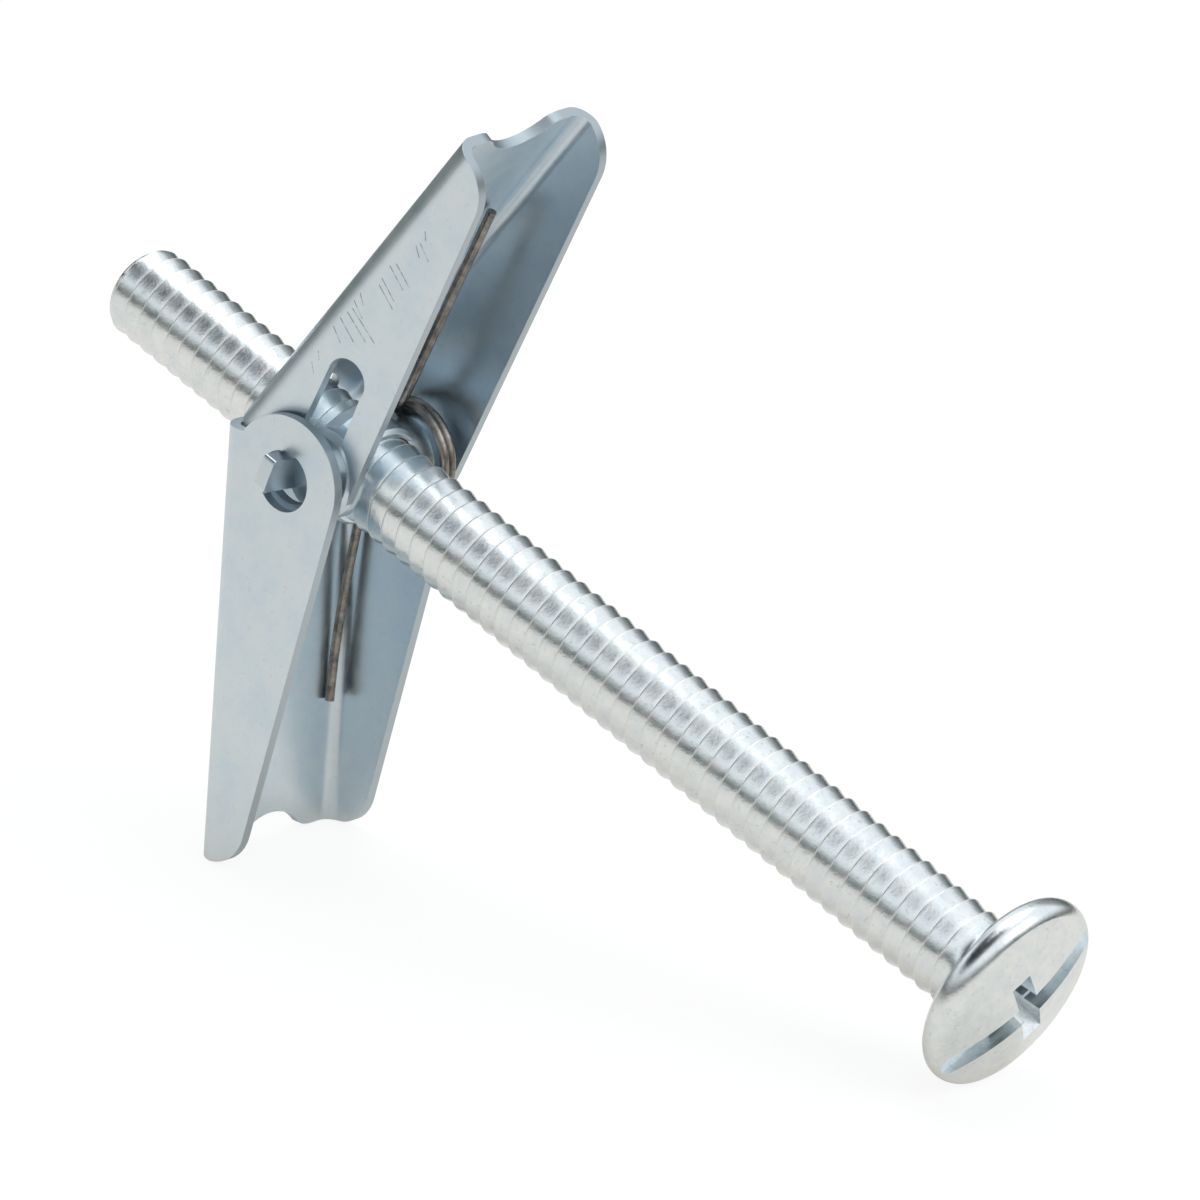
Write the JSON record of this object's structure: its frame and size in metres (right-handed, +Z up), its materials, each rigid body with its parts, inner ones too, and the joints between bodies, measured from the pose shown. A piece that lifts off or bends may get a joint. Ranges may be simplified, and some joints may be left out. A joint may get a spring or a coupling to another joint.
{
  "type": "spring toggle bolt",
  "caption": "Machine screw with a combination recess head, a trunnion nut and spring-opened folding channel wings for anchoring in hollow walls.",
  "frame": {"origin": "centre of the screw head's seat, the flat underside that bears on the held part", "axes": "+Z up as the part stands at rest on its lower wing's tip and the head's rim, +X level toward the head's side, +Y along the hinge of the wings toward the spring's coil; the screw slopes down to its head in the XZ plane"},
  "size_m": [0.0623, 0.0132, 0.0411],
  "materials": {
    "zinc_plated_screw": "bright zinc-plated steel",
    "zinc_plated_sheet": "zinc-plated stamped sheet steel, satin",
    "spring_wire": "bare drawn spring wire"
  },
  "bodies": {
    "screw": {"screw": "zinc_plated_screw"},
    "nut": {"trunnion_nut": "zinc_plated_sheet", "torsion_spring": "spring_wire"},
    "lower_wing": {"lower_wing": "zinc_plated_sheet"},
    "upper_wing": {"upper_wing": "zinc_plated_sheet"}
  },
  "joints": [
    {"name": "nut_travel", "type": "slide", "parent": "screw", "child": "nut", "axis": [0.9346, 0, -0.3556], "range_m": [-0.013, 0.021]},
    {"name": "lower_wing_hinge", "type": "hinge", "parent": "nut", "child": "lower_wing", "pos_m": [-0.04254, 0, 0.01619], "axis": [0, -1, 0], "range_deg": [0, 70], "stiffness_Nm_per_rad": 0.01, "springref_deg": -34.38, "deforming": ["torsion_spring"]},
    {"name": "upper_wing_hinge", "type": "hinge", "parent": "nut", "child": "upper_wing", "pos_m": [-0.04311, 0, 0.0164], "axis": [-0.0589, 0.9982, -0.015], "range_deg": [0, 70], "stiffness_Nm_per_rad": 0.01, "springref_deg": -34.38, "deforming": ["torsion_spring"]}
  ]
}
